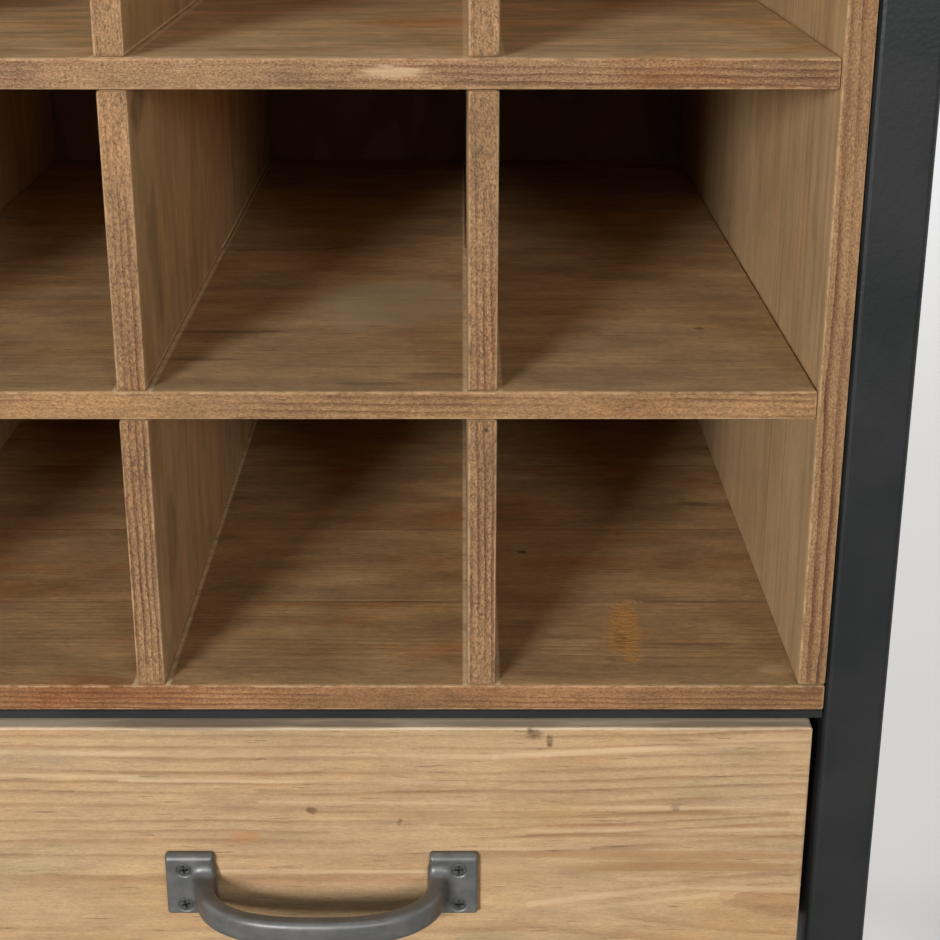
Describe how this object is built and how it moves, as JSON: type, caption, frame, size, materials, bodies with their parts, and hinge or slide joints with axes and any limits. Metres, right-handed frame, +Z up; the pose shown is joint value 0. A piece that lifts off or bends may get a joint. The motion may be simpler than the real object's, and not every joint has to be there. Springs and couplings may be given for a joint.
{
  "type": "bar cabinet",
  "caption": "Fir bottle rack of crossed boards over a drawer with a bow pull, in a frame of black square steel tube.",
  "frame": {"origin": "on the floor under the middle of the bounding box, the drawer pull included", "axes": "+Z up, front of the cabinet towards -Y, +X to the right when facing the front"},
  "size_m": [0.374, 0.411, 0.8403],
  "materials": {
    "fir_brown": "brown stained fir, matt",
    "fir_pale": "pale fir, satin",
    "plywood": "thin plywood, matt",
    "black_steel": "black powder coat",
    "gunmetal_paint": "satin dark grey",
    "dark_screw": "dark zinc",
    "zinc_plate": "bright zinc",
    "black_plastic": "moulded, matt"
  },
  "bodies": {
    "cabinet": {"rack_side_left": "fir_brown", "rack_side_right": "fir_brown", "rack_top": "fir_brown", "rack_bottom": "fir_brown", "shelf_1": "fir_brown", "shelf_2": "fir_brown", "shelf_3": "fir_brown", "shelf_4": "fir_brown", "divider_left": "fir_brown", "divider_right": "fir_brown", "bay_side_left": "fir_brown", "bay_side_right": "fir_brown", "top_board": "fir_brown", "back_panel": "plywood", "bay_back": "plywood", "post_front_left": "black_steel", "post_front_right": "black_steel", "post_back_left": "black_steel", "post_back_right": "black_steel", "middle_rail_front": "black_steel", "middle_rail_back": "black_steel", "middle_rail_left": "black_steel", "middle_rail_right": "black_steel", "top_rail_front": "black_steel", "top_rail_back": "black_steel", "top_rail_left": "black_steel", "top_rail_right": "black_steel", "lower_rail_front": "black_steel", "lower_rail_back": "black_steel", "lower_rail_left": "black_steel", "lower_rail_right": "black_steel", "rack_screw_front_left": "dark_screw", "rack_screw_front_right": "dark_screw", "rack_screw_back_left": "dark_screw", "rack_screw_back_right": "dark_screw", "top_screw_front_left": "dark_screw", "top_screw_front_right": "dark_screw", "top_screw_back_left": "dark_screw", "top_screw_back_right": "dark_screw", "slide_outer_left": "zinc_plate", "slide_outer_right": "zinc_plate", "foot_glide_front_left": "black_plastic", "foot_glide_front_right": "black_plastic", "foot_glide_back_left": "black_plastic", "foot_glide_back_right": "black_plastic"},
    "drawer": {"drawer_front": "fir_pale", "drawer_side_left": "fir_pale", "drawer_side_right": "fir_pale", "drawer_back": "fir_pale", "drawer_bottom": "plywood", "drawer_pull": "gunmetal_paint", "pull_screw_upper_left": "dark_screw", "pull_screw_upper_right": "dark_screw", "pull_screw_lower_left": "dark_screw", "pull_screw_lower_right": "dark_screw", "slide_inner_left": "zinc_plate", "slide_inner_right": "zinc_plate"},
    "slide_middles": {"slide_middle_left": "zinc_plate", "slide_middle_right": "zinc_plate"}
  },
  "joints": [
    {"name": "drawer_travel", "type": "slide", "parent": "cabinet", "child": "drawer", "axis": [0, -1, 0], "range_m": [0, 0.3]},
    {"name": "slide_middle_travel", "type": "slide", "parent": "cabinet", "child": "slide_middles", "axis": [0, -1, 0], "range_m": [0, 0.15]}
  ],
  "couplings": [
    {"joint": "slide_middle_travel", "follows": "drawer_travel", "ratio": 0.5}
  ]
}
